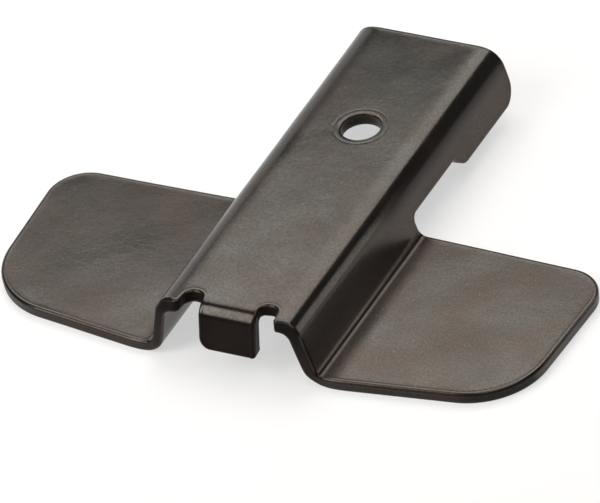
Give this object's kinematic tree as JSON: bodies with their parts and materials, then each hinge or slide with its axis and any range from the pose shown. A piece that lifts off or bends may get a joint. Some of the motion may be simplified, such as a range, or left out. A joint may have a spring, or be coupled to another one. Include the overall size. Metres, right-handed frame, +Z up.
{
  "type": "mulch plug",
  "caption": "Folded black steel mulch plug: a flat-topped channel with a bolt hole, flat wings beside its front half and a short bent tab between relief notches.",
  "frame": {"origin": "bottom centre of the part's box, in the plane that the undersides of the wings rest on", "axes": "+X across the wings, +Y along the channel towards its far end, +Z up, out of the top of the plate"},
  "size_m": [0.1246, 0.0944, 0.0151],
  "materials": {
    "black_coated_steel": "semi-gloss black paint with fine specks"
  },
  "bodies": {
    "root": {"mulch_plug": "black_coated_steel"}
  },
  "joints": []
}
